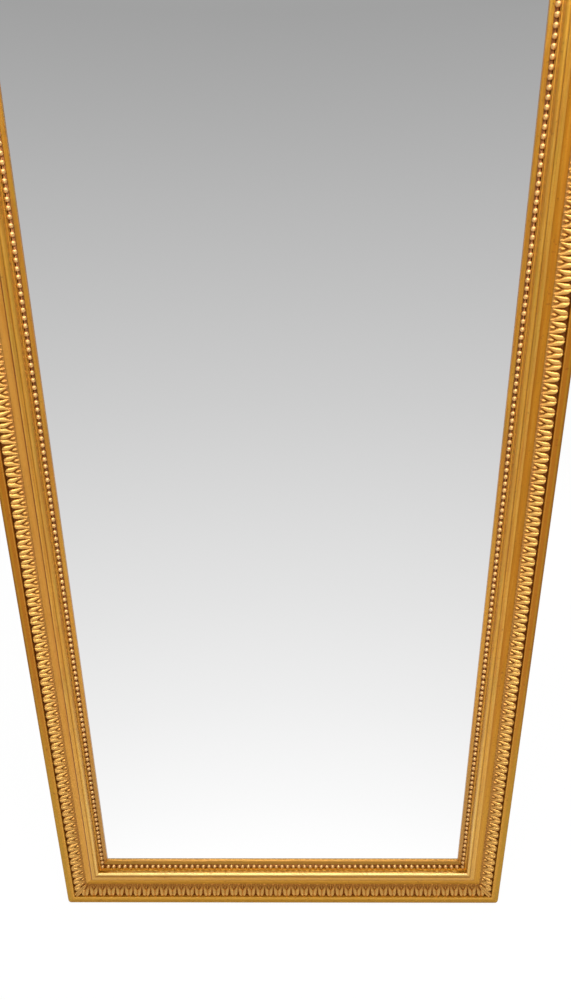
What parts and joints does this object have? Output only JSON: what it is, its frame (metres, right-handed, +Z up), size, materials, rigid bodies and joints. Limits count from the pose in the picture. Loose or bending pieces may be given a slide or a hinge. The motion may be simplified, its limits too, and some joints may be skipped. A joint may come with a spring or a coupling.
{
  "type": "pier mirror",
  "caption": "Tall rectangular wall mirror in a carved and gilded wooden frame with a row of beads and a band of leaves, hung from two D-rings on its panelled back.",
  "frame": {"origin": "middle of the back, on the wall plane, at the back face of the panelled back's middle rail", "axes": "+Z up along the height, +X along the width, -Y out of the wall towards the viewer"},
  "size_m": [1.1, 0.0706, 2.2],
  "materials": {
    "gilded_moulding": "leaf gilding over red bole and gesso, softly burnished",
    "gilded_sight": "leaf gilding over red bole and gesso, burnished on the ovolo",
    "gilded_beads": "gilded cast beads with red-brown recesses",
    "gilded_leaves": "gilded carved leaves with red-brown recesses",
    "pine": "planed pine, aged",
    "old_pine": "darkened softwood",
    "panel_pine": "darkened softwood panels",
    "oak": "cut oak",
    "silvered_glass": "silvered plate glass",
    "steel": "dull steel",
    "brass": "brassed steel, dull"
  },
  "bodies": {
    "frame": {"main_rail_bottom": "gilded_moulding", "main_rail_left": "gilded_moulding", "main_rail_top": "gilded_moulding", "main_rail_right": "gilded_moulding", "sight_slip_bottom": "gilded_sight", "sight_slip_left": "gilded_sight", "sight_slip_top": "gilded_sight", "sight_slip_right": "gilded_sight", "bead_strip_bottom": "gilded_beads", "bead_strip_left": "gilded_beads", "bead_strip_top": "gilded_beads", "bead_strip_right": "gilded_beads", "leaf_strip_bottom": "gilded_leaves", "leaf_strip_left": "gilded_leaves", "leaf_strip_top": "gilded_leaves", "leaf_strip_right": "gilded_leaves", "back_frame_bottom": "pine", "back_frame_left": "pine", "back_frame_top": "pine", "back_frame_right": "pine", "mirror_plate": "silvered_glass", "glazing_blocks": "old_pine", "mitre_tongues": "oak", "board_stile_left": "old_pine", "board_stile_right": "old_pine", "board_rail_middle": "old_pine", "board_rails_outer": "old_pine", "board_rails_inner": "old_pine", "board_panels": "panel_pine", "frame_screws": "steel", "slip_screws": "steel", "board_screws": "steel", "hanger_strap_left": "brass", "hanger_strap_right": "brass", "hanger_screws": "brass"},
    "left_ring": {"hanger_ring_left": "brass"},
    "right_ring": {"hanger_ring_right": "brass"}
  },
  "joints": [
    {"name": "left_ring_hinge", "type": "hinge", "parent": "frame", "child": "left_ring", "pos_m": [-0.50525, -0.00612, 0.68], "axis": [1, 0, 0], "range_deg": [0, 180]},
    {"name": "right_ring_hinge", "type": "hinge", "parent": "frame", "child": "right_ring", "pos_m": [0.50525, -0.00612, 0.68], "axis": [1, 0, 0], "range_deg": [0, 180]}
  ]
}
